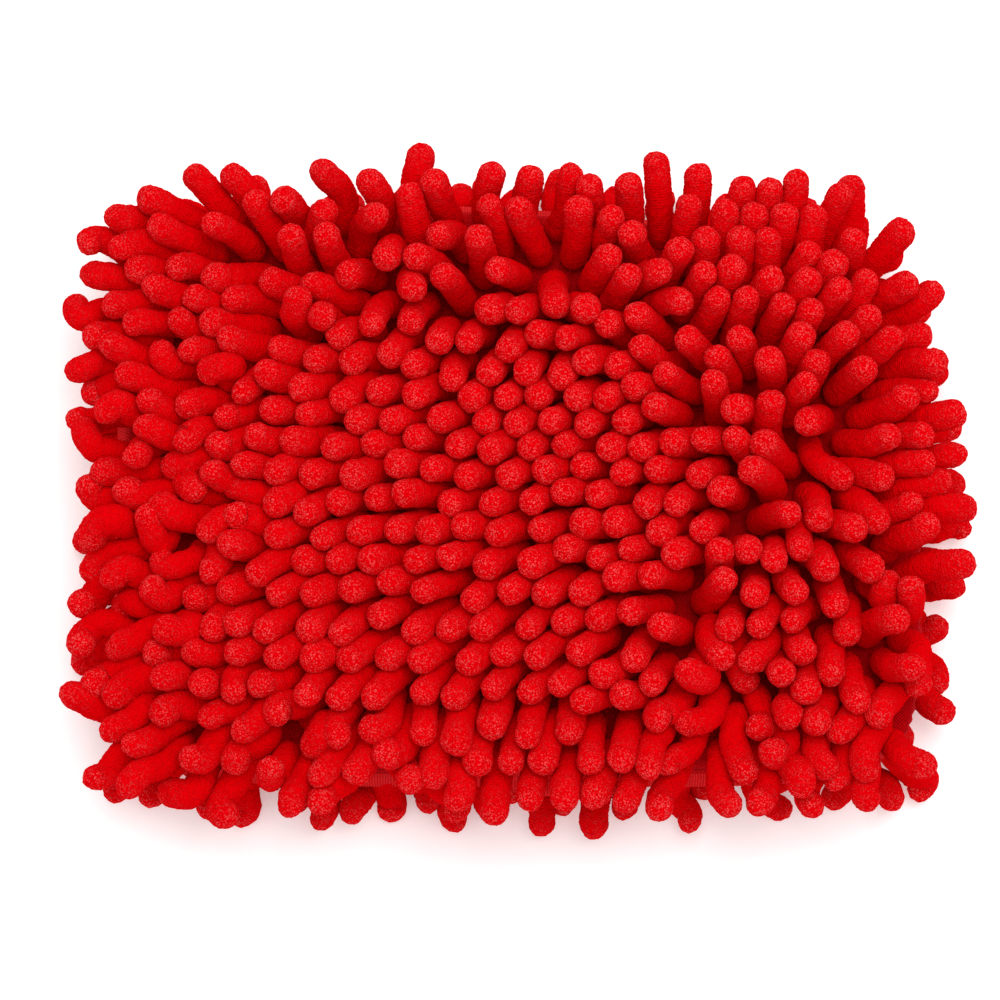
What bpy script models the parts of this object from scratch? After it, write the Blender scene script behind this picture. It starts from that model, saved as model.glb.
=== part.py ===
"""Chenille wash mitt, lying flat with its mouth at +X.

Two faces of base cloth, each carrying rows of chenille fingers, are joined on three sides by turned panels under a
binding tape. The fourth side is the mouth, a hem casing with elastic in it. The hand goes between the two linings.
Metres, +Z up. The origin is under the middle of the mitt, on the surface that it lies on.
"""

import math

import bpy
from mathutils import Vector

# ---- driving dimensions, metres -------------------------------------------------------------------------------------
BODY_L = 0.250  # base cloth, along X
BODY_W = 0.180  # base cloth, along Y
PITCH = 0.0113  # from finger to finger along a row
ROW_PITCH = 0.0088  # from row to row
ROWS = 20  # chenille rows on each face
FINGERS = 22  # in an even row; the rows between have one fewer, shifted by half a pitch
FINGER_D = 0.0078  # thickness of one finger
FINGER_LEN = 0.0280  # free length of an upper finger
STRIP_T = 0.0012  # the knitted spine of a row
SPLAY = 1.90  # sideways run per unit of height, upper fingers at the edge
SPLAY_LOW = 1.15  # the same for the fingers that the mitt lies on
SPLAY_POWER = 4.0

GAP = 0.0003  # between pieces that touch
LOW_PILE = 0.0170  # height of the squashed pile that the mitt lies on
CLOTH_T = 0.0010
LINING_T = 0.0006
POCKET_H = 0.0120  # between the two linings

PANEL_T = 0.0012
FLANGE_W = 0.0060  # seam allowance, standing out at mid height
FLANGE_T = 0.0010
TAPE_W = 0.0080
TAPE_T = 0.0032
TAPE_SLOT_H = 0.0016
TAPE_SLOT_D = 0.0060

HEM_W = 0.0126
HEM_T = 0.0024
HEM_WALL = 0.0004
HEM_SIDE = 0.0008
ELASTIC_T = 0.0010

THREAD_W = 0.0007
THREAD_T = 0.0006
STITCH = 0.0052  # along the seam, from one side of the zigzag to the other
STITCH_SWING = 0.0011

# ---- levels that follow from them -----------------------------------------------------------------------------------
Z_CLOTH_LOW = LOW_PILE + GAP
Z_LINING_LOW = Z_CLOTH_LOW + CLOTH_T + GAP
Z_POCKET = Z_LINING_LOW + LINING_T
Z_LINING_UP = Z_POCKET + POCKET_H
Z_CLOTH_UP = Z_LINING_UP + LINING_T + GAP
Z_STRIP_UP = Z_CLOTH_UP + CLOTH_T + GAP
Z_MID = 0.5 * (Z_LINING_LOW + Z_LINING_UP + LINING_T)

HALF_L = BODY_L / 2
HALF_W = BODY_W / 2

RED = (0.62, 0.004, 0.008)
RED_CLOTH = (0.55, 0.006, 0.010)
RED_TAPE = (0.66, 0.020, 0.024)
RED_THREAD = (0.60, 0.010, 0.014)
GREY_LINING = (0.50, 0.012, 0.016)
WHITE_ELASTIC = (0.82, 0.80, 0.78)

for old in list(bpy.data.objects):
    bpy.data.objects.remove(old, do_unlink=True)

root = bpy.data.objects.new("mitt", None)
bpy.context.scene.collection.objects.link(root)
# The upper half turns about the seam at the closed end.
lid = bpy.data.objects.new("upper_half", None)
lid.location = (-HALF_L, 0.0, Z_MID)
lid.parent = root
bpy.context.scene.collection.objects.link(lid)


def material(name, colour, rough):
    m = bpy.data.materials.new(name)
    m.use_nodes = True
    p = m.node_tree.nodes["Principled BSDF"]
    p.inputs["Base Color"].default_value = (*colour, 1.0)
    p.inputs["Roughness"].default_value = rough
    p.inputs["Metallic"].default_value = 0.0
    return m


def add(name, verts, faces, colour, rough, upper):
    """One closed solid from corner points and faces, in the half of the mitt that it belongs to."""
    parent = lid if upper else root
    shift = Vector(parent.location)
    me = bpy.data.meshes.new(name)
    me.from_pydata([Vector(v) - shift for v in verts], [], faces)
    me.validate()
    me.update()
    me.materials.append(material(name, colour, rough))
    ob = bpy.data.objects.new(name, me)
    ob.parent = parent
    bpy.context.scene.collection.objects.link(ob)
    return ob


def slab(name, lo, hi, colour, rough, upper):
    """A plain rectangular layer between two corners."""
    (a, b, c), (d, e, f) = lo, hi
    v = [(a, b, c), (d, b, c), (d, e, c), (a, e, c), (a, b, f), (d, b, f), (d, e, f), (a, e, f)]
    q = [(0, 3, 2, 1), (4, 5, 6, 7), (0, 1, 5, 4), (1, 2, 6, 5), (2, 3, 7, 6), (3, 0, 4, 7)]
    return add(name, v, q, colour, rough, upper)


def extruded(name, outline, place, length, colour, rough, upper):
    """A section, given anticlockwise, drawn along a straight line. place(t, a, b) is the point t along, at a, b."""
    n = len(outline)
    v = [place(-length / 2, a, b) for a, b in outline] + [place(length / 2, a, b) for a, b in outline]
    q = [tuple(range(n)), tuple(reversed(range(n, 2 * n)))]
    q += [(i, i + n, (i + 1) % n + n, (i + 1) % n) for i in range(n)]
    ob = add(name, v, q, colour, rough, upper)
    face_out(ob)
    return ob


def face_out(ob):
    """Turns a solid's faces outward by the sign of its volume."""
    me = ob.data
    me.calc_loop_triangles()
    vol = 0.0
    for t in me.loop_triangles:
        a, b, c = (me.vertices[i].co for i in t.vertices)
        vol += a.dot(b.cross(c))
    if vol < 0:
        me.flip_normals()


# ---- the pile -------------------------------------------------------------------------------------------------------
def splay(t, half, most):
    """How far a finger leans out: nothing in the middle of the face, most at its edge."""
    return math.copysign(most * min(1.0, abs(t) / half) ** SPLAY_POWER, t)


ROOT_X = PITCH * (FINGERS - 1) / 2
ROOT_Y = ROW_PITCH * (ROWS - 1) / 2


def row_roots(k):
    """Where the fingers of row k stand along X."""
    n = FINGERS - (k % 2)
    return [PITCH * (i - (n - 1) / 2) for i in range(n)]


def upper_tip(x, y):
    """The four corners of an upper finger's end, square to the way the finger points."""
    d = Vector((splay(x, ROOT_X, SPLAY), splay(y, ROOT_Y, SPLAY), 1.0)).normalized()
    c = Vector((x, y, Z_STRIP_UP + STRIP_T)) + d * (FINGER_LEN - STRIP_T)
    u = (Vector((1, 0, 0)) - d * d.x).normalized() * (FINGER_D / 2)
    w = d.cross(u)
    return c, u, w


def lower_tip(x, y):
    """A lower finger ends flat on the surface under the mitt."""
    h = LOW_PILE - STRIP_T
    c = Vector((x + h * splay(x, ROOT_X, SPLAY_LOW), y + h * splay(y, ROOT_Y, SPLAY_LOW), 0.0))
    return c, Vector((FINGER_D / 2, 0, 0)), Vector((0, FINGER_D / 2, 0))


def pile_row(name, k, upper):
    """One row of chenille: a flat spine along X with its fingers standing on it, all one piece of yarn."""
    y = ROW_PITCH * (k - (ROWS - 1) / 2)
    r = FINGER_D / 2
    xs = row_roots(k)
    if upper:
        z_back, z_top = Z_STRIP_UP, Z_STRIP_UP + STRIP_T
    else:
        z_back, z_top = LOW_PILE, LOW_PILE - STRIP_T
    x0, x1 = xs[0] - r, xs[-1] + r
    v = [(x0, y - r, z_back), (x1, y - r, z_back), (x1, y + r, z_back), (x0, y + r, z_back)]
    q = [(0, 3, 2, 1)]
    near, far = [], []  # the spine's two top edges, left to right
    last = None
    for x in xs:
        base = len(v)
        v += [(x - r, y - r, z_top), (x + r, y - r, z_top), (x + r, y + r, z_top), (x - r, y + r, z_top)]
        c, u, w = (upper_tip if upper else lower_tip)(x, y)
        v += [tuple(c - u - w), tuple(c + u - w), tuple(c + u + w), tuple(c - u + w)]
        for i in range(4):
            j = (i + 1) % 4
            q.append((base + i, base + j, base + 4 + j, base + 4 + i))
        q.append((base + 4, base + 5, base + 6, base + 7))
        if last is not None:  # the bare spine between two fingers
            q.append((last + 1, base, base + 3, last + 2))
        near += [base, base + 1]
        far += [base + 3, base + 2]
        last = base
    q.append((0, 1, *reversed(near)))
    q.append((3, *far, 2))
    q.append((1, 2, far[-1], near[-1]))
    q.append((0, near[0], far[0], 3))
    ob = add(name, v, q, RED, 0.95, upper)
    if not upper:
        ob.data.flip_normals()
    return ob


for k in range(ROWS):
    pile_row(f"pile_row_upper_{k + 1:02d}", k, True)
    pile_row(f"pile_row_lower_{k + 1:02d}", k, False)

# ---- base cloth and lining ------------------------------------------------------------------------------------------
slab("base_cloth_lower", (-HALF_L, -HALF_W, Z_CLOTH_LOW), (HALF_L, HALF_W, Z_CLOTH_LOW + CLOTH_T), RED_CLOTH, 0.9, False)
slab("base_cloth_upper", (-HALF_L, -HALF_W, Z_CLOTH_UP), (HALF_L, HALF_W, Z_CLOTH_UP + CLOTH_T), RED_CLOTH, 0.9, True)

IN_X0 = -HALF_L + PANEL_T + 0.0014  # room for the upper lining to swing past the end panel
IN_X1 = HALF_L - HEM_W - GAP
IN_Y = HALF_W - PANEL_T - 0.0004
slab("lining_lower", (IN_X0, -IN_Y, Z_LINING_LOW), (IN_X1, IN_Y, Z_LINING_LOW + LINING_T), GREY_LINING, 0.8, False)
slab("lining_upper", (IN_X0, -IN_Y, Z_LINING_UP), (IN_X1, IN_Y, Z_LINING_UP + LINING_T), GREY_LINING, 0.8, True)

# ---- side panels, binding tape and seam thread on the three closed sides --------------------------------------------
PANEL_Z0 = Z_LINING_LOW
PANEL_Z1 = Z_LINING_UP + LINING_T

PANEL = [
    (-PANEL_T, PANEL_Z0),
    (0.0, PANEL_Z0),
    (0.0, Z_MID - FLANGE_T / 2),
    (FLANGE_W, Z_MID - FLANGE_T / 2),
    (FLANGE_W, Z_MID + FLANGE_T / 2),
    (0.0, Z_MID + FLANGE_T / 2),
    (0.0, PANEL_Z1),
    (-PANEL_T, PANEL_Z1),
]
T0, T1 = 0.0004, 0.0004 + TAPE_W
CHAMFER = 0.0008
TAPE = [
    (T0, Z_MID - TAPE_T / 2),
    (T1 - CHAMFER, Z_MID - TAPE_T / 2),
    (T1, Z_MID - TAPE_T / 2 + CHAMFER),
    (T1, Z_MID + TAPE_T / 2 - CHAMFER),
    (T1 - CHAMFER, Z_MID + TAPE_T / 2),
    (T0, Z_MID + TAPE_T / 2),
    (T0, Z_MID + TAPE_SLOT_H / 2),
    (T0 + TAPE_SLOT_D, Z_MID + TAPE_SLOT_H / 2),
    (T0 + TAPE_SLOT_D, Z_MID - TAPE_SLOT_H / 2),
    (T0, Z_MID - TAPE_SLOT_H / 2),
]


def zigzag(name, length, place, z0, colour, upper):
    """A seam's thread: one continuous zigzag of square section. place(t, a, z) is t along the seam, a across it."""
    n = int(length / STITCH)
    pts = [(STITCH * (i - n / 2), STITCH_SWING * (1 if i % 2 else -1)) for i in range(n + 1)]
    half = THREAD_W / 2 / math.cos(math.atan2(2 * STITCH_SWING, STITCH))
    v, q = [], []
    for t, a in pts:
        v += [place(t, a - half, z0), place(t, a + half, z0), place(t, a + half, z0 + THREAD_T), place(t, a - half, z0 + THREAD_T)]
    for i in range(n):
        b = 4 * i
        for j in range(4):
            m = (j + 1) % 4
            q.append((b + j, b + m, b + 4 + m, b + 4 + j))
    q += [(3, 2, 1, 0), (4 * n, 4 * n + 1, 4 * n + 2, 4 * n + 3)]
    ob = add(name, v, q, colour, 0.6, upper)
    face_out(ob)
    return ob


SEAM_AT = T0 + 0.0042
SEAM_Z = Z_MID + TAPE_T / 2 + GAP
SIDES = {
    "front": (BODY_L - 0.0004, lambda t, a, b: (t, -HALF_W - a, b)),
    "back": (BODY_L - 0.0004, lambda t, a, b: (t, HALF_W + a, b)),
}
for side, (length, place) in SIDES.items():
    extruded(f"side_panel_{side}", PANEL, place, length, RED_CLOTH, 0.9, False)
    extruded(f"binding_{side}", TAPE, place, length, RED_TAPE, 0.75, False)
    zigzag(f"seam_thread_{side}", length - 0.004, lambda t, a, z, p=place: p(t, SEAM_AT + a, z), SEAM_Z, RED_THREAD, False)


def at_end(t, a, b):
    return (-HALF_L - a, t, b)


extruded("end_panel", PANEL, at_end, BODY_W - 2 * PANEL_T - 0.0008, RED_CLOTH, 0.9, False)
extruded("binding_end", TAPE, at_end, BODY_W + 2 * T1, RED_TAPE, 0.75, False)
zigzag("seam_thread_end", BODY_W - 0.004, lambda t, a, z: at_end(t, SEAM_AT + a, z), SEAM_Z, RED_THREAD, False)

# ---- mouth: hem casing, elastic and topstitch -----------------------------------------------------------------------
HEM_X0, HEM_X1 = HALF_L - HEM_W, HALF_L


def hem(name, z0, upper):
    """A flat tunnel of folded cloth along the mouth, open at both ends."""
    out = [(HEM_X0, z0), (HEM_X1, z0), (HEM_X1, z0 + HEM_T), (HEM_X0, z0 + HEM_T)]
    s, w = HEM_SIDE, HEM_WALL
    inn = [(HEM_X0 + s, z0 + w), (HEM_X1 - s, z0 + w), (HEM_X1 - s, z0 + HEM_T - w), (HEM_X0 + s, z0 + HEM_T - w)]
    v = []
    for y in (-IN_Y, IN_Y):
        v += [(x, y, z) for x, z in out] + [(x, y, z) for x, z in inn]
    q = []
    for i in range(4):
        j = (i + 1) % 4
        q.append((i, j, j + 8, i + 8))
        q.append((i + 4, i + 12, j + 12, j + 4))
        q.append((i, i + 4, j + 4, j))
        q.append((i + 8, j + 8, j + 12, i + 12))
    ob = add(name, v, q, RED_CLOTH, 0.85, upper)
    face_out(ob)
    return ob


Z_HEM_LOW = Z_LINING_LOW
Z_HEM_UP = Z_LINING_UP + LINING_T - HEM_T
hem("mouth_hem_lower", Z_HEM_LOW, False)
hem("mouth_hem_upper", Z_HEM_UP, True)
for name, z, upper in (("mouth_elastic_lower", Z_HEM_LOW, False), ("mouth_elastic_upper", Z_HEM_UP, True)):
    m = 0.5 * (HEM_T - ELASTIC_T)
    slab(
        name,
        (HEM_X0 + HEM_SIDE + 0.0004, -IN_Y + 0.0006, z + m),
        (HEM_X1 - HEM_SIDE - 0.0004, IN_Y - 0.0006, z + m + ELASTIC_T),
        WHITE_ELASTIC,
        0.7,
        upper,
    )


def along_hem(t, a, z):
    return (HEM_X0 + 0.0028 + a, t, z)


zigzag("hem_thread_lower", 2 * IN_Y - 0.006, along_hem, Z_HEM_LOW + HEM_T + GAP, RED_THREAD, False)
zigzag("hem_thread_upper", 2 * IN_Y - 0.006, along_hem, Z_HEM_UP - GAP - THREAD_T, RED_THREAD, True)
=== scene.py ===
"""Looks of the chenille wash mitt: rows of round soft fingers on two base cloths, around a lined hand pocket."""

import math

import bpy
import numpy as np
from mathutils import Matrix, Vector


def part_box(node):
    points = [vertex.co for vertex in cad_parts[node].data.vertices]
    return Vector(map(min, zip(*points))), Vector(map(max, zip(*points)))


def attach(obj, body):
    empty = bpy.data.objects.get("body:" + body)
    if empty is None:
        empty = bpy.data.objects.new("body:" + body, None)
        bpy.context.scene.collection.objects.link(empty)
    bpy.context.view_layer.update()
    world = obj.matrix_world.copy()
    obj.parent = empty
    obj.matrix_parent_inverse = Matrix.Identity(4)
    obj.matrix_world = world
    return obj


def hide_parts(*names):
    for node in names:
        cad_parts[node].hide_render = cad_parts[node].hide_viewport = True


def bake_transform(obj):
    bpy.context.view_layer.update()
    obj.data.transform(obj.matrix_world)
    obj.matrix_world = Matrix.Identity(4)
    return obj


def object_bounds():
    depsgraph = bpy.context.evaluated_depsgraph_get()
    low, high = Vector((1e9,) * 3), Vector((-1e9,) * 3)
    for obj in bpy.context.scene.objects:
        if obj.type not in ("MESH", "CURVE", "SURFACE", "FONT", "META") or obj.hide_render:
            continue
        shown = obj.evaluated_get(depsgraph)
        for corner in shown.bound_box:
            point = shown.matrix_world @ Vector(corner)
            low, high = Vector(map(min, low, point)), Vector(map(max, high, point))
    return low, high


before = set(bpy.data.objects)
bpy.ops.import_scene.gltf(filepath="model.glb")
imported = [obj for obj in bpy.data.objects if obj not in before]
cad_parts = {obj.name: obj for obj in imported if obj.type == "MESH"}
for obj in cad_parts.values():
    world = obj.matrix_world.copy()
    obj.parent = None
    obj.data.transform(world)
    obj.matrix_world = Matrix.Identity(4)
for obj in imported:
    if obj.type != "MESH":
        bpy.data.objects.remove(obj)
CAD_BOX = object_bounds()

MM = 0.001


def node_box(name):
    lo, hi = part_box(name)
    return np.array(lo, float), np.array(hi, float)


# ---- sizes read from the frame ----------------------------------------------------------------------------------------
UP_LO, UP_HI = node_box("base_cloth_upper")
LOW_LO, LOW_HI = node_box("base_cloth_lower")
HALF_L = float(UP_HI[0])
HALF_W = float(UP_HI[1])
Z_UP = float(UP_HI[2])  # top of the upper base cloth
Z_LOW = float(LOW_LO[2])  # underside of the lower base cloth
TAPE_LO, TAPE_HI = node_box("binding_front")
Z_SEAM = float(TAPE_LO[2] + TAPE_HI[2]) / 2
CLOTH_T = float(UP_HI[2] - UP_LO[2])
ROWS, ROW_PITCH = 20, 0.0088
FINGERS, PITCH = 22, 0.0113  # in an even row; the rows between have one fewer, shifted by half a pitch
FINGER_R = 0.00452
FINGER_LEN = 0.0300

# ---- small numeric helpers --------------------------------------------------------------------------------------------


def hash3(ix, iy, iz, seed):
    """A repeatable number from 0 to 1 for each whole-number cell."""
    with np.errstate(over="ignore"):
        h = (
            ix.astype(np.uint32) * np.uint32(374761393)
            + iy.astype(np.uint32) * np.uint32(668265263)
            + iz.astype(np.uint32) * np.uint32(2147483647)
            + np.uint32(seed * 974711 % 4294967291)
        )
        h = (h ^ (h >> np.uint32(13))) * np.uint32(1274126177)
        h = (h ^ (h >> np.uint32(16))) * np.uint32(2246822519)
        h = h ^ (h >> np.uint32(15))
    return h.astype(np.float32) * np.float32(1.0 / 4294967295.0)


def noise3(p, size, seed):
    """Smooth noise from -1 to 1 with features about size across."""
    q = (p / size).astype(np.float32)
    i = np.floor(q)
    f = q - i
    f = f * f * (3 - 2 * f)
    i = i.astype(np.int64)
    out = np.zeros(len(p), np.float32)
    for dx in (0, 1):
        wx = f[:, 0] if dx else 1 - f[:, 0]
        for dy in (0, 1):
            wy = f[:, 1] if dy else 1 - f[:, 1]
            for dz in (0, 1):
                wz = f[:, 2] if dz else 1 - f[:, 2]
                out += wx * wy * wz * hash3(i[:, 0] + dx, i[:, 1] + dy, i[:, 2] + dz, seed)
    return out * 2 - 1


def unit(v):
    return v / np.maximum(np.linalg.norm(v, axis=-1, keepdims=True), 1e-12)


def mesh_object(name, verts, quads, smooth=True, tris=None, attrs=None):
    """An object from plain arrays of corner points and faces."""
    me = bpy.data.meshes.new(name)
    verts = np.asarray(verts, np.float32)
    quads = np.asarray(quads, np.int32).reshape(-1, 4)
    tris = np.zeros((0, 3), np.int32) if tris is None else np.asarray(tris, np.int32).reshape(-1, 3)
    me.vertices.add(len(verts))
    me.vertices.foreach_set("co", verts.ravel())
    loops = np.concatenate([quads.ravel(), tris.ravel()])
    me.loops.add(len(loops))
    me.loops.foreach_set("vertex_index", loops)
    n = len(quads) + len(tris)
    me.polygons.add(n)
    start = np.concatenate([np.arange(len(quads)) * 4, len(quads) * 4 + np.arange(len(tris)) * 3]).astype(np.int32)
    me.polygons.foreach_set("loop_start", start)
    me.polygons.foreach_set("use_smooth", np.full(n, bool(smooth)))
    me.update(calc_edges=True)
    for key, values in (attrs or {}).items():
        a = me.attributes.new(key, "FLOAT", "POINT")
        a.data.foreach_set("value", np.asarray(values, np.float32))
    ob = bpy.data.objects.new(name, me)
    bpy.context.scene.collection.objects.link(ob)
    return ob


# ---- the lie of the cloth ---------------------------------------------------------------------------------------------
TAPE_OUT = float(-TAPE_LO[1]) - HALF_W  # how far the bound edge stands out from the body
OPEN_X = HALF_L / 8  # the middle of the stretch of the near side where the bound edge lies open to view


def droop(x, y):
    """How steeply the bound edge hangs: least on a short stretch of the near side, where it lies open to view."""
    flat = step01((np.abs(x - OPEN_X) - 5 * MM) / (19 * MM))
    return np.where(y < -0.6 * HALF_W, 0.22 + 0.86 * flat, 1.08)



def pillow(x, y):
    """1 in the middle of a face, falling to 0 where it is sewn to the other face. The mouth end stays open."""
    ey = np.clip(np.abs(y) / (HALF_W + 0.5 * MM), 0, 0.999)
    ex = np.clip(-x / (HALF_L + 0.5 * MM), 0, 0.999)
    er = np.clip(x / (HALF_L + 0.5 * MM), 0, 1)
    return np.sqrt((1 - ey**5) * (1 - ex**7)) * (1 - 0.16 * er**6)


def upper_z(x, y):
    """Top of the upper base cloth."""
    edge = Z_SEAM + 1.6 * MM
    return edge + (Z_UP - edge) * pillow(x, y)


def lower_z(x, y):
    """Underside of the lower base cloth."""
    edge = Z_SEAM - 1.6 * MM
    return edge + (Z_LOW - edge) * pillow(x, y)


def face_normal(x, y, upper):
    f = upper_z if upper else lower_z
    e = 0.5 * MM
    gx = (f(x + e, y) - f(x - e, y)) / (2 * e)
    gy = (f(x, y + e) - f(x, y - e)) / (2 * e)
    s = 1.0 if upper else -1.0
    return unit(np.stack([-gx * s, -gy * s, np.full_like(gx, s)], -1))


def step01(t):
    t = np.clip(t, 0, 1)
    return t * t * (3 - 2 * t)


def lie(x, y):
    """Where the limp body really lies: its far side draws in towards the mouth, and its corners are rounded off."""
    u, v = x / HALF_L, y / HALF_W
    corner = np.minimum(np.abs(u * v), 1.12) ** 5
    inward = MM * (7.0 + 5.0 * step01(u) * step01(v))
    dx = -8.0 * MM * np.clip(u, 0, 1.1) ** 3 * step01(v / 0.7)
    dy = -8.0 * MM * step01((u + 0.24) / 1.1) * np.clip(v, 0, 1.1)
    return x + dx - np.sign(u) * inward * corner, y + dy - np.sign(v) * inward * corner


def unlie(x, y):
    """The straight place that lie() would bring to x, y."""
    a, b = x.copy(), y.copy()
    for _ in range(4):
        c, d = lie(a, b)
        a, b = a + (x - c) * 0.8, b + (y - d) * 0.8
    return a, b


# ---- how the pile lies: a combing chart -------------------------------------------------------------------------------
# The whole outline is divided evenly into 7 bands, from the far side to the near side, and 10 columns, from the closed end
# to the mouth. HOURS says which way the fingers point whose tips lie there, as on a clock face: 12 is towards the far side,
# 3 towards the mouth, 6 towards the near side and 9 towards the closed end. LEANS says how far they lean over, in degrees.
HOURS = [
    [9.5, 10.5, 11.0, 12.5, 11.5, 11.5, 12.0, 12.5, 12.0, 1.5],
    [9.0, 9.0, 9.0, 7.5, 6.5, 5.5, 2.0, 1.0, 1.5, 2.5],
    [9.0, 9.0, 8.5, 8.0, 6.5, 7.0, 9.0, 12.0, 1.0, 3.5],
    [9.0, 8.5, 8.5, 8.5, 8.0, 8.0, 8.0, 9.0, 4.5, 2.5],
    [8.5, 8.5, 8.0, 8.0, 8.0, 8.0, 8.5, 6.5, 6.0, 2.0],
    [8.5, 8.0, 7.5, 7.5, 7.5, 7.5, 7.5, 7.0, 6.5, 4.5],
    [8.0, 7.0, 7.0, 6.5, 6.5, 6.5, 6.5, 6.0, 6.0, 5.5],
]
LEANS = [
    [55, 50, 45, 60, 60, 45, 45, 40, 45, 55],
    [55, 60, 50, 35, 35, 30, 25, 30, 35, 50],
    [60, 55, 40, 30, 25, 25, 30, 20, 20, 50],
    [60, 50, 40, 30, 30, 25, 25, 25, 35, 50],
    [60, 50, 40, 30, 35, 30, 30, 20, 25, 50],
    [60, 55, 40, 35, 40, 35, 35, 40, 45, 60],
    [55, 55, 55, 55, 50, 50, 50, 50, 50, 50],
]


def comb(x, y, crisp=1.5):
    """The sideways lean wanted for a finger whose visible part is at x, y: a vector no longer than 1."""
    way, size = np.radians(90 - 30 * np.array(HOURS)), np.sin(np.radians(LEANS))
    chart = np.stack([np.cos(way) * size, np.sin(way) * size], -1)
    bands, columns = size.shape
    lo, hi = np.array(CAD_BOX[0]), np.array(CAD_BOX[1])
    across = np.clip((hi[1] - y) / (hi[1] - lo[1]) * bands - 0.5, 0, bands - 1.001)
    along = np.clip((x - lo[0]) / (hi[0] - lo[0]) * columns - 0.5, 0, columns - 1.001)
    r, c = across.astype(int), along.astype(int)
    # the lie turns over a little less than one step of the chart
    tr, tc = (step01((across - r - 0.5) * crisp + 0.5)[:, None], step01((along - c - 0.5) * crisp + 0.5)[:, None])
    v = (chart[r, c] * (1 - tc) + chart[r, c + 1] * tc) * (1 - tr) + (chart[r + 1, c] * (1 - tc) + chart[r + 1, c + 1] * tc) * tr
    # the neighbours hold the fingers up, so they have to be combed down a little harder
    v = v * 1.07
    return v / np.maximum(1, np.linalg.norm(v, axis=1, keepdims=True) / 0.90)


# ---- fingers: where they stand and how they settle --------------------------------------------------------------------
K = 11  # points along one finger


def unruly(x, y):
    """How disordered the pile is: a little at the closed end, more along the parting and towards the mouth."""
    u, v = x / HALF_L, y / HALF_W
    parting = np.exp(-(((v - 0.66) / 0.22) ** 2)) * np.exp(-(((u + 0.1) / 0.4) ** 2))
    return np.clip(0.06 + 0.42 * parting + 0.34 * np.clip((u - 0.1) / 0.8, 0, 1), 0, 1)


def parted(x, y, h=0.007):
    """1 where the pile parts and its fingers lean away from each other, 0 where it lies one way."""
    gx = comb(x + h, y)[:, 0] - comb(x - h, y)[:, 0]
    gy = comb(x, y + h)[:, 1] - comb(x, y - h)[:, 1]
    return step01((gx + gy - 0.42) / 0.45)


def stand(upper):
    """Roots, rows and wanted shapes for the fingers of one face."""
    rng = np.random.default_rng(11 if upper else 23)
    rows, roots = [], []
    for k in range(ROWS):
        n = FINGERS - (k % 2)
        x = PITCH * (np.arange(n) - (n - 1) / 2)
        y = np.full(n, ROW_PITCH * (k - (ROWS - 1) / 2))
        roots.append(np.stack([x, y], -1))
        rows += [k] * n
    root = np.concatenate(roots)
    rows = np.array(rows)
    n = len(root)
    root = root + rng.normal(0, 0.45 * MM, root.shape)
    bx, by = root[:, 0], root[:, 1]
    z = (upper_z if upper else lower_z)(bx, by)
    if not upper:
        # near the seam the two cloths lie close, so the roots there start just below them
        z = z - 1.0 * MM * step01((np.maximum(np.abs(bx) / HALF_L, np.abs(by) / HALF_W) - 0.72) / 0.2)
    x, y = lie(bx, by)
    base = np.stack([x, y, z], -1)
    normal = face_normal(bx, by, upper)
    wild = unruly(bx, by)
    length = FINGER_LEN * (1 + rng.normal(0, 0.035, n))
    if upper:
        lean = comb(x, y)
        for _ in range(4):
            lean = comb(x + lean[:, 0] * length * 0.85, y + lean[:, 1] * length * 0.85)
        # along a parting some fingers stay up and others fall across it, so that the cloth stays hidden
        part = parted(x, y)
        flat_part = part.copy()
        # beside the far edge the parted fingers are mixed: some over the edge, some half over it, some upright
        dice, by_edge = rng.uniform(0, 1, n), part > 0.2
        second = by_edge & (rows >= ROWS - 3) & (rows < ROWS - 1)
        spill, fill = second & (dice < 0.32), second & (dice >= 0.32) & (dice < 0.70)
        upright = by_edge & (rows == ROWS - 1) & (dice < 0.36)
        outer = comb(x, y + 18 * MM)
        lean = np.where(spill[:, None], outer * 0.85, lean)
        lean = np.where(fill[:, None], outer * 0.50, lean)
        lean = np.where(upright[:, None], lean * 0.42, lean)
        part = np.where(spill | fill | upright, 0.3, part)
        # the near edge's bound edge is bare for a short stretch
        bare = (rows <= 1) & (np.abs(bx - OPEN_X) < 14 * MM)
        lean = np.where(bare[:, None], lean * 0.80, lean)
        lean = lean * (1 - 0.75 * part * rng.uniform(0.25, 1.0, n))[:, None] + rng.normal(0, 0.20, (n, 2)) * part[:, None]
    else:
        # squashed under the mitt: everything is pushed outward from the middle
        u, v = bx / HALF_L, by / HALF_W
        out = np.stack([np.sign(u) * np.abs(u) ** 3, np.sign(v) * np.abs(v) ** 3], -1)
        out += rng.normal(0, 0.45, out.shape) * (1 - np.clip(np.maximum(abs(u), abs(v)), 0, 1) ** 4)[:, None]
        lean = out / np.maximum(1, np.linalg.norm(out, axis=1) / 0.93)[:, None]
        # a short stretch of the near side is tucked in under the bound edge
        tucked = (v < -0.8) & (np.abs(bx - OPEN_X) < 13 * MM)
        lean = np.where(tucked[:, None], lean * 0.45, lean)
    lean = lean * (1 + np.clip(rng.normal(0, 0.11, n), -0.25, 0.2))[:, None]
    turn = rng.normal(0, 0.05 + 0.34 * wild, n)
    c, s = np.cos(turn), np.sin(turn)
    lean = np.stack([lean[:, 0] * c - lean[:, 1] * s, lean[:, 0] * s + lean[:, 1] * c], -1)
    lean = lean + rng.normal(0, 1, (n, 2)) * (0.03 + 0.09 * wild)[:, None]
    size = np.linalg.norm(lean, axis=1, keepdims=True)
    lean = lean / np.maximum(size, 1e-6) * np.minimum(size, 0.985)
    return dict(
        rows=rows, base=base, normal=normal, lean=lean, length=length, wild=wild, upper=np.full(n, upper), rng=rng, n=n,
        part=flat_part if upper else np.zeros(n), straight=root,
    )


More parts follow.
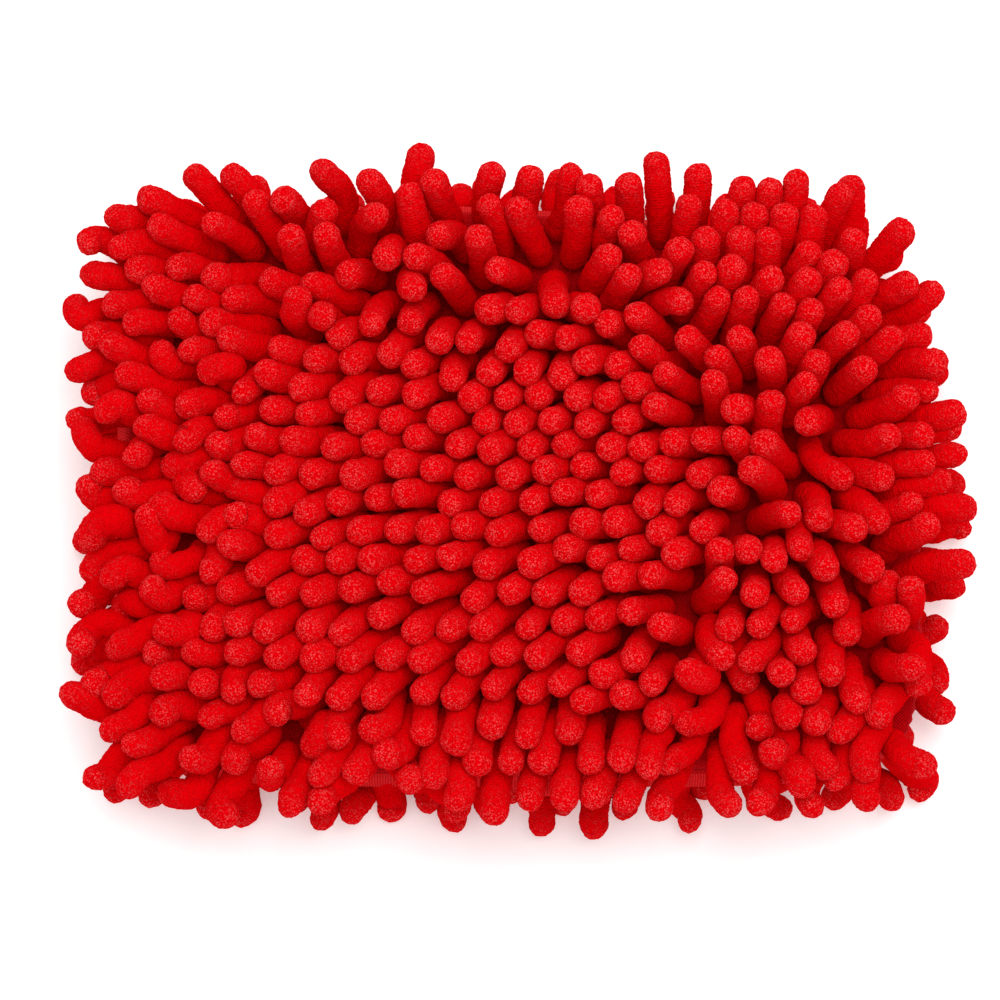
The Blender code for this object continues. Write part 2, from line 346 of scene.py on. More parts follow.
def wanted_shape(f, upper):
    """The curve each finger would take with no neighbours: up out of the cloth, then over the way it is combed."""
    rng, n = f["rng"], f["n"]
    up = np.array([0, 0, 1.0 if upper else -1.0])
    size = np.linalg.norm(f["lean"], axis=1)
    tilt = np.arcsin(np.clip(size, 0, 0.985))
    heading = f["lean"] / np.maximum(size, 1e-6)[:, None]
    t = np.linspace(0, 1, K - 1)
    # the tilt grows along the finger; strongly combed fingers hang over
    if "idle" not in f:
        f["idle"] = (rng.uniform(0.2, 1.0, n), rng.normal(0, 1, n), rng.normal(0, 1, n))
    dice_flop, dice_curl, dice_ess = f["idle"]
    flop = dice_flop * f["part"]
    growth = 0.70 - 0.15 * flop[:, None] + (0.55 + 1.35 * flop[:, None]) * t[None, :]
    if not upper:
        # the lower fingers first hang down, inside the bound edge, and then lie outwards on the surface
        growth = np.broadcast_to(0.12 + 1.30 * step01(t * 1.5)[None, :], growth.shape)
    angle = tilt[:, None] * growth
    angle = np.minimum(angle, math.radians(112 if upper else 96))
    d = np.zeros((n, K - 1, 3))
    d[..., :2] = np.sin(angle)[..., None] * heading[:, None, :]
    d[..., 2] = np.cos(angle) * up[2]
    # blend into the cloth's own normal near the root
    w = np.clip(1 - t * 2.2, 0, 1)[None, :, None] * 0.5
    d = unit(d * (1 - w) + f["normal"][:, None, :] * w)
    # an idle sideways curl
    side = np.stack([-heading[:, 1], heading[:, 0], np.zeros(n)], -1)
    curl = dice_curl * (0.04 + 0.60 * f["wild"] + 0.45 * f["part"])
    ess = dice_ess * (0.02 + 0.24 * f["wild"] + 0.15 * f["part"])
    bend = curl[:, None] * t[None, :] ** 1.3 + ess[:, None] * np.sin(2 * math.pi * t)[None, :]
    d = unit(d + side[:, None, :] * bend[..., None])
    step = (f["length"] / (K - 1))[:, None, None]
    pts = np.concatenate([np.zeros((n, 1, 3)), np.cumsum(d * step, axis=1)], axis=1) + f["base"][:, None, :]
    return pts


def close_pairs(p, owner, reach):
    """Every pair of points of different fingers that are within reach of each other."""
    cell = np.floor(p / reach).astype(np.int64)
    cell -= cell.min(0)
    dims = cell.max(0) + 3
    key = ((cell[:, 0] + 1) * dims[1] + (cell[:, 1] + 1)) * dims[2] + cell[:, 2] + 1
    order = np.argsort(key, kind="stable")
    skey = key[order]
    out_i, out_j = [], []
    for dx in (-1, 0, 1):
        for dy in (-1, 0, 1):
            for dz in (-1, 0, 1):
                off = (dx * dims[1] + dy) * dims[2] + dz
                lo = np.searchsorted(skey, key + off, "left")
                hi = np.searchsorted(skey, key + off, "right")
                count = hi - lo
                i = np.repeat(np.arange(len(p)), count)
                start = np.repeat(lo - np.concatenate([[0], np.cumsum(count)[:-1]]), count)
                j = order[start + np.arange(len(i))]
                keep = (i < j) & (owner[i] != owner[j])
                i, j = i[keep], j[keep]
                d2 = ((p[i] - p[j]) ** 2).sum(1)
                near = d2 < reach * reach
                out_i.append(i[near])
                out_j.append(j[near])
    return np.concatenate(out_i), np.concatenate(out_j)


def settle(faces, rounds):
    """Lets all the fingers settle against each other, the cloth and the surface that the mitt lies on."""
    base = np.concatenate([f["base"] for f in faces])
    want = np.concatenate([f["want"] for f in faces])
    length = np.concatenate([f["length"] for f in faces])
    upper = np.concatenate([f["upper"] for f in faces])
    n = len(base)
    seg = (length / (K - 1))[:, None]
    pos = want.copy()
    prev = pos.copy()
    owner = np.repeat(np.arange(n), K)
    kk = np.tile(np.arange(K), n)
    is_up = upper[owner]
    sign = np.where(upper, 1.0, -1.0)[:, None]
    radius = FINGER_R
    t = np.linspace(0, 1, K)
    fixed = np.zeros(n * K, bool)
    fixed[kk == 0] = True
    pi = pj = None
    want_dir = np.diff(want, axis=1)
    hold = (0.05 * (1 - 0.55 * t))[None, :, None]
    for it in range(rounds):
        late = it / max(1, rounds - 1)
        if it % 8 == 0:
            pi, pj = close_pairs(pos.reshape(-1, 3), owner, 2 * radius + 3.2 * MM)
            apart = np.where(
                is_up[pi] != is_up[pj], 2 * radius + 0.5 * MM + 2.5 * MM * (pos.reshape(-1, 3)[pi, 0] < -0.09), 2 * radius * 0.955
            )
            px, py = pos.reshape(-1, 3)[:, 0], pos.reshape(-1, 3)[:, 1]
            ux, uy = unlie(px, py)
            shift_x, shift_y = ux - px, uy - py
            hang = droop(ux, uy)
        vel = (pos - prev) * 0.72
        prev = pos.copy()
        pos = pos + vel
        pos[:, 2:, 2] -= 0.018 * MM * t[None, 2:]
        # each finger's own springiness pulls it back to the shape it was combed to
        pos += (want - pos) * hold * (1 - 0.45 * late)
        for _ in range(2):
            # springy bending: each joint keeps the turn that it was combed to
            for k in range(1, K - 1):
                d0 = unit(pos[:, k] - pos[:, k - 1])
                w0, w1 = unit(want_dir[:, k - 1]), unit(want_dir[:, k])
                aim = pos[:, k] + seg * unit(d0 + (w1 - w0))
                pos[:, k + 1] += (aim - pos[:, k + 1]) * 0.22
            # fingers push each other apart
            flat = pos.reshape(-1, 3)
            for _c in range(2):
                d = flat[pi] - flat[pj]
                r = np.sqrt((d * d).sum(1)) + 1e-9
                over = apart - r
                hit = over > 0
                i, j = pi[hit], pj[hit]
                push = d[hit] / r[hit, None] * over[hit, None] * 0.5
                wi = np.where(kk[i] <= 1, 0.25, 1.0)[:, None]
                wj = np.where(kk[j] <= 1, 0.25, 1.0)[:, None]
                tot = wi + wj
                pa, pb = push * (2 * wi / tot) * 0.62, push * (2 * wj / tot) * 0.62
                for a in range(3):
                    flat[:, a] += np.bincount(i, pa[:, a], len(flat)) - np.bincount(j, pb[:, a], len(flat))
            # they stay off the cloth and off the binding that stands out around it
            z = flat[:, 2]
            bx, by = flat[:, 0] + shift_x, flat[:, 1] + shift_y
            past = np.maximum(np.abs(by) - HALF_W, -bx - HALF_L)
            on_cloth = (np.abs(bx) < HALF_L + 1 * MM) & (past < 0) & (kk >= 2)
            reach = TAPE_OUT * np.cos(hang)
            on_tape = (bx < HALF_L) & (past >= 0) & (past < reach + radius * 0.5) & (kk >= 2)
            xs, ys = np.clip(bx, -HALF_L, HALF_L), np.clip(by, -HALF_W, HALF_W)
            drop = np.tan(hang) * np.clip(past, 0, reach)
            top = np.where(on_tape, Z_SEAM + 2.2 * MM - drop + 1.2 * MM * (bx < -HALF_L), upper_z(xs, ys)) + radius
            low = np.where(on_tape, Z_SEAM - 3.2 * MM - drop, lower_z(xs, ys)) - radius
            touch = on_cloth | on_tape
            flat[:, 2] = np.where(touch & is_up & (z < top), z + (top - z) * 0.8, flat[:, 2])
            flat[:, 2] = np.where(touch & ~is_up & (z > low), z + (low - z) * 0.85, flat[:, 2])
            # and above the surface underneath, a little squashed
            flat[:, 2] = np.maximum(flat[:, 2], np.where(kk >= 1, radius * 0.93, flat[:, 2]))
            pos = flat.reshape(n, K, 3)
            pos[:, 0] = base
            # each finger keeps its length
            for k in range(1, K):
                d = pos[:, k] - pos[:, k - 1]
                r = np.linalg.norm(d, axis=1, keepdims=True)
                corr = d / np.maximum(r, 1e-9) * (r - seg)
                if k == 1:
                    pos[:, k] -= corr
                else:
                    pos[:, k] -= corr * 0.62
                    pos[:, k - 1] += corr * 0.38
            pos[:, 0] = base
    for k in range(1, K):
        d = unit(pos[:, k] - pos[:, k - 1])
        pos[:, k] = pos[:, k - 1] + d * seg
    flat = pos.reshape(-1, 3)
    d = flat[pi] - flat[pj]
    r = np.sqrt((d * d).sum(1))
    deep = np.sort(np.maximum(0, 2 * radius - r))[::-1]
    print("SETTLED deepest overlaps mm", np.round(deep[[0, 20, 100, 400]] * 1000, 2), "pairs", len(pi))
    return pos


def cover(f, pos):
    """Leans a few crowded fingers over the places where the cloth below would show."""
    gx, gy = np.meshgrid(
        np.arange(-HALF_L - 2 * MM, HALF_L, 3.1 * MM), np.arange(-HALF_W - 5 * MM, HALF_W + 3.5 * MM, 3.1 * MM), indexing="ij"
    )
    gx, gy = gx.ravel(), gy.ravel()
    shown = ~((gy < -HALF_W + 4 * MM) & (np.abs(gx - OPEN_X) < 13 * MM))
    px, py = lie(gx[shown], gy[shown])
    spots = np.stack([px, py], -1)
    line = pos[:, 3:, :2].reshape(-1, 2)
    gap = np.array([np.sqrt(((line - s) ** 2).sum(1).min()) for s in spots])
    tips, base = pos[:, -1, :2], f["base"][:, :2]
    crowd = (np.linalg.norm(tips[:, None] - tips[None], axis=2) < 2.25 * FINGER_R).sum(1)
    lean, free, bare = f["lean"].copy(), np.ones(f["n"], bool), gap > FINGER_R * 1.12
    at_edge = np.maximum(np.abs(f["straight"][:, 0]) / HALF_L, np.abs(f["straight"][:, 1]) / HALF_W) > 0.88
    print("BARE", int(bare.sum()), "of", len(spots))
    for i in np.argsort(-gap, kind="stable"):
        if not bare[i] or (~free).sum() >= 90:
            continue
        way = spots[i] - base
        far = np.linalg.norm(way, axis=1)
        heading = unit(f["lean"])
        turned = 1 - (way * heading).sum(1) / np.maximum(far, 1e-6)
        score = far / MM - 2.2 * crowd + 4.0 * turned + 100 * (~free | (far < 5 * MM) | (far > 21 * MM))
        score = score + 50 * (at_edge & (turned > 0.7))  # the fingers of the outline stay outside
        j = int(np.argmin(score))
        if score[j] > 60:
            continue
        lean[j] = way[j] / far[j] * min(0.9, (far[j] + 2.5 * MM) / (f["length"][j] * 0.88))
        free[j] = False
        bare &= np.linalg.norm(spots - spots[i], axis=1) > 9 * MM
    print("LEANED OVER", int((~free).sum()))
    f["lean"] = lean


faces = [stand(True), stand(False)]
for f, up in zip(faces, (True, False)):
    if not up:
        edge = np.maximum(np.abs(f["base"][:, 0]) / HALF_L, np.abs(f["base"][:, 1]) / HALF_W)
        f["length"] = f["length"] * (0.70 + 0.28 * np.clip((edge - 0.55) / 0.35, 0, 1))
    f["want"] = wanted_shape(f, up)
n_up = faces[0]["n"]
settled = settle(faces, 150)
cover(faces[0], settled[:n_up])
faces[0]["want"] = wanted_shape(faces[0], True)
settled = settle(faces, 240)
faces[0]["pos"], faces[1]["pos"] = settled[:n_up], settled[n_up:]


# ---- finger meshes ----------------------------------------------------------------------------------------------------
def smooth_curve(p, m):
    """Points p (n, K, 3) resampled to m points along a smooth curve, evenly by length."""
    n, k, _ = p.shape
    a = np.concatenate([2 * p[:, :1] - p[:, 1:2], p, 2 * p[:, -1:] - p[:, -2:-1]], axis=1)
    fine = []
    sub = 6
    for i in range(k - 1):
        p0, p1, p2, p3 = a[:, i], a[:, i + 1], a[:, i + 2], a[:, i + 3]
        for s in range(sub):
            t = s / sub
            fine.append(
                0.5
                * (
                    2 * p1
                    + (p2 - p0) * t
                    + (2 * p0 - 5 * p1 + 4 * p2 - p3) * t * t
                    + (3 * p1 - 3 * p2 + p3 - p0) * t**3
                )
            )
    fine.append(a[:, -2])
    fine = np.stack(fine, 1)
    # a short moving average takes out the kinks that the collisions leave
    for _ in range(4):
        fine[:, 1:-1] = 0.25 * fine[:, :-2] + 0.5 * fine[:, 1:-1] + 0.25 * fine[:, 2:]
    step = np.linalg.norm(np.diff(fine, axis=1), axis=2)
    s = np.concatenate([np.zeros((n, 1)), np.cumsum(step, 1)], 1)
    total = s[:, -1]
    out = np.zeros((n, m, 3))
    want = np.linspace(0, 1, m)
    for i in range(n):
        for c in range(3):
            out[i, :, c] = np.interp(want * total[i], s[i], fine[i, :, c])
    return out, total


def finger_mesh(p, around, along, seed, upper):
    """Soft round-ended tubes along the curves p. Returns points, quads, triangles and how far along each point is."""
    n = len(p)
    tip_rings = max(4, around // 4)
    body = along - tip_rings
    line, total = smooth_curve(p, 64)
    rng = np.random.default_rng(seed)
    fat = FINGER_R * (1 + np.clip(rng.normal(0, 0.045, n), -0.1, 0.07))
    # stations: even along the body, then closing over the round tip
    out_c = np.zeros((n, along, 3))
    out_t = np.zeros((n, along, 3))
    out_r = np.zeros((n, along))
    where = np.zeros((n, along))
    tangent = unit(np.gradient(line, axis=1))
    grid = np.linspace(0, 1, 64)
    for i in range(n):
        cut = total[i] - fat[i] * 0.98
        sb = np.linspace(0, cut, body, endpoint=False)
        ang = np.linspace(0, math.pi / 2, tip_rings + 1)[:-1]
        st = cut + fat[i] * 0.98 * np.sin(ang)
        s = np.concatenate([sb, st])
        r = np.concatenate([np.full(body, 1.0), np.cos(ang) ** 0.92])
        root = np.clip(sb / (5 * MM), 0, 1)
        r[:body] *= 0.72 + 0.28 * root * root * (3 - 2 * root)
        r *= 1 + 0.03 * np.sin(s / total[i] * 2.6 + rng.uniform(0, 6))
        for c in range(3):
            out_c[i, :, c] = np.interp(s / total[i], grid, line[i, :, c])
            out_t[i, :, c] = np.interp(s / total[i], grid, tangent[i, :, c])
        out_r[i] = r * fat[i]
        where[i] = s / total[i]
    out_t = unit(out_t)
    # a frame carried along each curve without twisting
    ref = np.zeros((n, 3))
    ref[:, 0] = 1.0
    u = unit(ref - (ref * out_t[:, 0]).sum(1, keepdims=True) * out_t[:, 0])
    us = [u]
    for k in range(1, along):
        u = us[-1] - (us[-1] * out_t[:, k]).sum(1, keepdims=True) * out_t[:, k]
        us.append(unit(u))
    u = np.stack(us, 1)
    v = np.cross(out_t, u)
    a = np.arange(around) / around * 2 * math.pi
    # rings are turned a little from one to the next, as the pile of the yarn is wound
    spin = np.arange(along)[:, None] * 0.5 / around * 2 * math.pi
    ca, sa = np.cos(a[None, :] + spin), np.sin(a[None, :] + spin)
    normal = ca[None, :, :, None] * u[:, :, None, :] + sa[None, :, :, None] * v[:, :, None, :]
    # the end cap's normals turn towards the tip
    capped = np.zeros(along)
    capped[body:] = np.sin(np.linspace(0, math.pi / 2, tip_rings + 1)[:-1])
    lift = unit(normal * np.sqrt(1 - capped[None, :, None, None] ** 2) + out_t[:, :, None, :] * capped[None, :, None, None])
    pts = out_c[:, :, None, :] + normal * out_r[:, :, None, None]
    flat = pts.reshape(-1, 3)
    # nap: lumps, tufts and the faint winding ridges of chenille
    lump = noise3(flat, 4.4 * MM, 5) * 0.30 * MM
    tuft = noise3(flat, 1.2 * MM, 6) * 0.21 * MM
    grain = noise3(flat, 0.62 * MM, 7) * 0.15 * MM
    s_mm = where[:, :, None] * (total[:, None, None] / MM) + np.zeros((1, 1, around))
    wind = np.sin(2 * math.pi * s_mm / 1.45 + a[None, None, :]) * 0.035 * MM
    disp = (lump + tuft + grain).reshape(n, along, around) + wind
    fade = np.clip(where * 8, 0, 1)[:, :, None]
    pts = pts + lift * (disp * fade)[..., None]
    tip = out_c[:, -1] + out_t[:, -1] * (fat * 0.98 * (1 - math.sin(math.pi / 2 * (1 - 1 / tip_rings))))[:, None]
    root = out_c[:, 0]
    verts = np.concatenate([pts.reshape(n, -1, 3), tip[:, None], root[:, None]], 1)
    along_v = np.concatenate([np.repeat(where, around, axis=1), np.ones((n, 1)), np.zeros((n, 1))], 1)
    # faces of one finger
    k = np.arange(along - 1)[:, None] * around
    j = np.arange(around)[None, :]
    j1 = (j + 1) % around
    quads = np.stack([k + j, k + j1, k + around + j1, k + around + j], -1).reshape(-1, 4)
    last = (along - 1) * around
    jj = np.arange(around)
    tri_tip = np.stack([last + jj, last + (jj + 1) % around, np.full(around, along * around)], -1)
    tri_root = np.stack([(jj + 1) % around, jj, np.full(around, along * around + 1)], -1)
    tris = np.concatenate([tri_tip, tri_root])
    return verts, quads, tris, along_v


# ---- materials --------------------------------------------------------------------------------------------------------
class Nodes:
    """A short way to write a node tree."""

    def __init__(self, name):
        self.m = bpy.data.materials.new(name)
        self.m.use_nodes = True
        self.t = self.m.node_tree
        self.p = self.t.nodes["Principled BSDF"]

    def add(self, kind, **props):
        n = self.t.nodes.new(kind)
        for k, v in props.items():
            setattr(n, k, v)
        return n

    def link(self, a, b):
        self.t.links.new(a, b)

    def coords(self):
        return self.add("ShaderNodeTexCoord").outputs["Object"]

    def noise(self, vec, scale, detail=2.0, rough=0.5):
        n = self.add("ShaderNodeTexNoise")
        n.inputs["Scale"].default_value = scale
        n.inputs["Detail"].default_value = detail
        n.inputs["Roughness"].default_value = rough
        self.link(vec, n.inputs["Vector"])
        return n.outputs["Fac"]

    def voronoi(self, vec, scale, feature="F1"):
        n = self.add("ShaderNodeTexVoronoi", feature=feature)
        n.inputs["Scale"].default_value = scale
        self.link(vec, n.inputs["Vector"])
        return n.outputs["Distance"]

    def maths(self, op, a, b=None, clamp=False):
        n = self.add("ShaderNodeMath", operation=op, use_clamp=clamp)
        for k, v in ((0, a), (1, b)):
            if v is None:
                continue
            if isinstance(v, (int, float)):
                n.inputs[k].default_value = v
            else:
                self.link(v, n.inputs[k])
        return n.outputs[0]

    def ramp(self, fac, stops):
        n = self.add("ShaderNodeValToRGB")
        e = n.color_ramp.elements
        while len(e) < len(stops):
            e.new(0.5)
        for x, (at, c) in zip(e, stops):
            x.position = at
            x.color = (*c, 1.0) if len(c) == 3 else c
        self.link(fac, n.inputs["Fac"])
        return n.outputs["Color"]

    def mix(self, fac, a, b, blend="MIX"):
        n = self.add("ShaderNodeMix", data_type="RGBA", blend_type=blend)
        for k, v in (("Factor", fac), ("A", a), ("B", b)):
            sock = [s for s in n.inputs if s.name == k and s.type in (("VALUE",) if k == "Factor" else ("RGBA",))][0]
            if isinstance(v, (int, float)):
                sock.default_value = v
            elif isinstance(v, tuple):
                sock.default_value = (*v, 1.0)
            else:
                self.link(v, sock)
        return [s for s in n.outputs if s.type == "RGBA"][0]

    def bump(self, height, distance, strength=1.0):
        n = self.add("ShaderNodeBump")
        n.inputs["Strength"].default_value = strength
        n.inputs["Distance"].default_value = distance
        self.link(height, n.inputs["Height"])
        self.link(n.outputs["Normal"], self.p.inputs["Normal"])

    def attribute(self, name):
        return self.add("ShaderNodeAttribute", attribute_name=name).outputs["Fac"]


def chenille_material():
    s = Nodes("chenille_pile")
    c = s.coords()
    along, run = s.attribute("along"), s.attribute("run")
    grain = s.noise(c, 1500, 2.0, 0.55)
    tuft = s.noise(c, 480, 1.5, 0.5)
    patch = s.noise(c, 70, 2.0)
    # the fibres stand out of the yarn in rings
    wobble = s.maths("MULTIPLY", s.noise(c, 300, 1.0), 3.0)
    ring = s.maths("SINE", s.maths("ADD", s.maths("MULTIPLY", run, 2 * math.pi / 0.85), wobble))
    # painted highlight: the glint of fibre ends that catch the light, painted as little worm-like ridges at the tip
    warp = s.add("ShaderNodeVectorMath", operation="ADD")
    push = s.add("ShaderNodeVectorMath", operation="SCALE")
    curlnoise = s.add("ShaderNodeTexNoise")
    curlnoise.inputs["Scale"].default_value = 900
    s.link(c, curlnoise.inputs["Vector"])
    s.link(curlnoise.outputs["Color"], push.inputs[0])
    push.inputs["Scale"].default_value = 0.0009
    s.link(c, warp.inputs[0])
    s.link(push.outputs[0], warp.inputs[1])
    ridge = s.ramp(s.voronoi(warp.outputs[0], 1500), [(0.18, (1, 1, 1)), (0.50, (0, 0, 0))])
    tip = s.ramp(along, [(0.62, (0.03, 0.03, 0.03)), (0.84, (0.38, 0.38, 0.38)), (0.97, (1, 1, 1))])
    painted_glint = s.maths("MULTIPLY", s.maths("MULTIPLY", ridge, tip), s.ramp(tuft, [(0.34, (0.25, 0.25, 0.25)), (0.55, (1, 1, 1))]))
    ground = s.mix(patch, (0.66, 0.0001, 0.0022), (0.80, 0.0004, 0.0034))
    ground = s.mix(s.maths("MULTIPLY", s.maths("ADD", ring, 1.0), 0.10), ground, (0.50, 0.0001, 0.0020))
    # partly painted shade: the low spots of the grain, which the bump sinks, are darker; the rest is uneven tone of the
    # yarn
    ground = s.mix(s.ramp(grain, [(0.30, (0.55, 0.55, 0.55)), (0.5, (0, 0, 0))]), ground, (0.42, 0.0001, 0.0016))
    # painted shade: towards the root the colour is held at a set red, which sets how dark the deep gaps between the
    # fingers look
    ground = s.mix(s.ramp(along, [(0.35, (0.7, 0.7, 0.7)), (0.92, (0, 0, 0))]), ground, (0.66, 0.0001, 0.0012))
    # the painted highlight, laid over the tips in a light pink-red
    colour = s.mix(s.maths("MULTIPLY", painted_glint, 0.9), ground, (1.0, 0.11, 0.11))
    s.link(colour, s.p.inputs["Base Color"])
    s.p.inputs["Roughness"].default_value = 0.95
    s.p.inputs["Specular IOR Level"].default_value = 0.0
    s.p.inputs["Sheen Weight"].default_value = 0.06
    s.p.inputs["Sheen Roughness"].default_value = 0.45
    s.p.inputs["Sheen Tint"].default_value = (1.0, 0.03, 0.05, 1.0)
    h = s.maths("ADD", s.maths("MULTIPLY", grain, 1.1), s.maths("MULTIPLY", tuft, 0.9))
    h = s.maths("ADD", h, s.maths("MULTIPLY", ring, 0.10))
    h = s.maths("ADD", h, s.maths("MULTIPLY", ridge, 0.35))
    s.bump(h, 0.0006, 0.9)
    # a little emission stands in for the light that the fibres scatter to each other
    s.p.inputs["Emission Color"].default_value = (1.0, 0.0, 0.004, 1.0)
    s.p.inputs["Emission Strength"].default_value = 0.026
    return s.m


CHENILLE = chenille_material()

# ---- the rows of chenille ---------------------------------------------------------------------------------------------
pieces = {}
for f, upper in zip(faces, (True, False)):
    word, body = ("upper", "upper_half") if upper else ("lower", "root")
    around, along = (36, 60) if upper else (22, 38)
    for k in range(ROWS):
        sel = f["rows"] == k
        v, q, t, a = finger_mesh(f["pos"][sel], around, along, 100 + k + (0 if upper else 50), upper)
        m, per = v.shape[0], v.shape[1]
        off = (np.arange(m) * per)[:, None, None]
        v[..., 2] = np.maximum(v[..., 2], 0.15 * MM)
        ob = mesh_object(
            f"chenille_row_{word}_{k + 1:02d}",
            v.reshape(-1, 3),
            (q[None] + off).reshape(-1, 4),
            True,
            (t[None] + off).reshape(-1, 3),
            {"along": a.ravel(), "run": (a * f["length"][sel][:, None] / MM).ravel()},
        )
        ob.data.materials.append(CHENILLE)
        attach(ob, body)
        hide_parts(f"pile_row_{word}_{k + 1:02d}")
        pieces[ob.name] = ob


# ---- cloth, tape and thread materials ---------------------------------------------------------------------------------
def cloth_material(name, dark, light, scale=900.0, rib=None, yarn=0.0011, bump=0.7, sheen=0.12):
    """A knitted or woven cloth. rib is the spacing of ribs that run across the piece's own length, told by run."""
    s = Nodes(name)
    c = s.coords()
    grain = s.noise(c, scale, 3.0, 0.6)
    if rib:
        run = s.attribute("run")
        across = s.attribute("across")
        line = s.maths("SINE", s.maths("MULTIPLY", run, 2 * math.pi / rib))
        fill = s.maths("SINE", s.maths("MULTIPLY", across, 2 * math.pi / (rib * 0.6)))
        knit = s.maths("ADD", line, s.maths("MULTIPLY", fill, 0.35))
    else:
        sep = s.add("ShaderNodeSeparateXYZ")
        s.link(c, sep.inputs[0])
        wx = s.maths("SINE", s.maths("MULTIPLY", sep.outputs[0], 2 * math.pi / yarn))
        wy = s.maths("SINE", s.maths("MULTIPLY", sep.outputs[1], 2 * math.pi / yarn))
        knit = s.maths("MULTIPLY", wx, wy)
    h = s.maths("ADD", s.maths("MULTIPLY", knit, 0.35), grain)
    s.link(s.mix(s.ramp(h, [(0.2, (0, 0, 0)), (0.9, (1, 1, 1))]), dark, light), s.p.inputs["Base Color"])
    s.p.inputs["Roughness"].default_value = 0.9
    s.p.inputs["Specular IOR Level"].default_value = 0.04
    s.p.inputs["Sheen Weight"].default_value = sheen
    s.p.inputs["Sheen Roughness"].default_value = 0.5
    s.p.inputs["Sheen Tint"].default_value = (1.0, 0.1, 0.1, 1.0)
    s.bump(h, 0.0004, bump)
    return s.m


# the knitted base is a darker red than the pile: partly painted shade, so that the cloth seen between the fingers reads
# as deep gaps
BASE = cloth_material("knitted_base", (0.34, 0.0, 0.002), (0.56, 0.001, 0.004), 700.0, bump=1.0, sheen=0.03)
LINING = cloth_material("pocket_lining", (0.34, 0.006, 0.010), (0.56, 0.016, 0.022), 1400.0, yarn=0.0008, bump=0.5)
TAPE = cloth_material("binding_tape", (0.52, 0.003, 0.006), (0.78, 0.016, 0.018), 1500.0, rib=0.85, sheen=0.05)
HEM = cloth_material("hem_cloth", (0.34, 0.002, 0.005), (0.58, 0.010, 0.014), 1200.0, yarn=0.0009)
ELASTIC = cloth_material("elastic_band", (0.58, 0.56, 0.53), (0.86, 0.84, 0.81), 1300.0, rib=1.3, sheen=0.05)
THREAD = cloth_material("polyester_thread", (0.40, 0.004, 0.008), (0.70, 0.018, 0.022), 2600.0, rib=0.45, bump=0.6, sheen=0.3)


def finish_piece(ob, material, node, body=None, gusset=None):
    """Material and bookkeeping that every piece needs."""
    ob.data.materials.append(material)
    if gusset:
        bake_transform(ob)
    else:
        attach(ob, body)
    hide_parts(node)
    return ob


def depth_z(x, y, upper, depth):
    """A level inside the body, depth metres in from the base cloth's inner side, squeezed together near the seams."""
    face = upper_z(x, y) if upper else lower_z(x, y)
    whole = abs((Z_UP if upper else Z_LOW) - Z_SEAM) - CLOTH_T
    room = np.maximum(np.abs(face - Z_SEAM) - CLOTH_T, 0.4 * MM)
    return Z_SEAM + (1.0 if upper else -1.0) * room * (1 - depth / whole)


def closed_sheet(name, x, y, top, bottom, attrs=None):
    """A thin closed shell over a grid of places x, y, between two levels."""
    nx, ny = x.shape
    px, py = lie(x, y)
    v = np.concatenate([np.stack([px, py, top], -1).reshape(-1, 3), np.stack([px, py, bottom], -1).reshape(-1, 3)])
    i = np.arange(nx - 1)[:, None] * ny
    a = (i + np.arange(ny - 1)[None, :]).ravel()
    quad = np.stack([a, a + ny, a + ny + 1, a + 1], -1)
    n = nx * ny
    rim = np.concatenate([
        np.arange(nx) * ny,
        (nx - 1) * ny + np.arange(1, ny),
        (nx - 2 - np.arange(nx - 1)) * ny + ny - 1,
        np.arange(ny - 2, 0, -1),
    ])
    nxt = np.roll(rim, -1)
    wall = np.stack([rim, rim + n, nxt + n, nxt], -1)
    return mesh_object(name, v, np.concatenate([quad, quad[:, ::-1] + n, wall]), True, None, attrs)


def level_grid(x0, x1, y0, y1, step):
    nx, ny = int((x1 - x0) / step) + 2, int((y1 - y0) / step) + 2
    return np.meshgrid(np.linspace(x0, x1, nx), np.linspace(y0, y1, ny), indexing="ij")


def ripple(x, y, size, seed):
    p = np.stack([x.ravel(), y.ravel(), np.zeros(x.size)], -1)
    return noise3(p, size, seed).reshape(x.shape)


# ---- base cloths and pocket linings -----------------------------------------------------------------------------------
for word, upper, body in (("upper", True, "upper_half"), ("lower", False, "root")):
    sgn = 1.0 if upper else -1.0
    x, y = level_grid(-HALF_L, HALF_L, -HALF_W, HALF_W, 1.25 * MM)
    face = upper_z(x, y) if upper else lower_z(x, y)
    # the stitches that hold each finger pinch the knit a little
    nub = (0.34 * ripple(x, y, 3.1 * MM, 31) - 0.30) * MM * sgn
    outer, inner = face + nub * 0.8, face - sgn * CLOTH_T
    ob = closed_sheet(f"base_cloth_{word}_knit", x, y, outer if upper else inner, inner if upper else outer)
    finish_piece(ob, BASE, f"base_cloth_{word}", body)
    lo, hi = node_box(f"lining_{word}")
    x, y = level_grid(lo[0], hi[0], lo[1], hi[1], 1.8 * MM)
    inset = np.clip(np.minimum((hi[0] - x) / (12 * MM), (HALF_W - np.abs(y)) / (16 * MM)), 0, 1)
    crease = (0.5 + 0.5 * ripple(x * 0.45, y, 11 * MM, 41)) * 1.9 + (0.5 + 0.5 * ripple(x, y * 0.7, 5 * MM, 42)) * 0.5
    sag = MM * crease * inset
    near, far = depth_z(x, y, upper, 0.3 * MM + sag), depth_z(x, y, upper, 0.9 * MM + sag)
    ob = closed_sheet(f"pocket_lining_{word}", x, y, near if upper else far, far if upper else near)
    finish_piece(ob, LINING, f"lining_{word}", body)


# ---- strips that run along the edges ----------------------------------------------------------------------------------
T_Z = Z_SEAM / MM


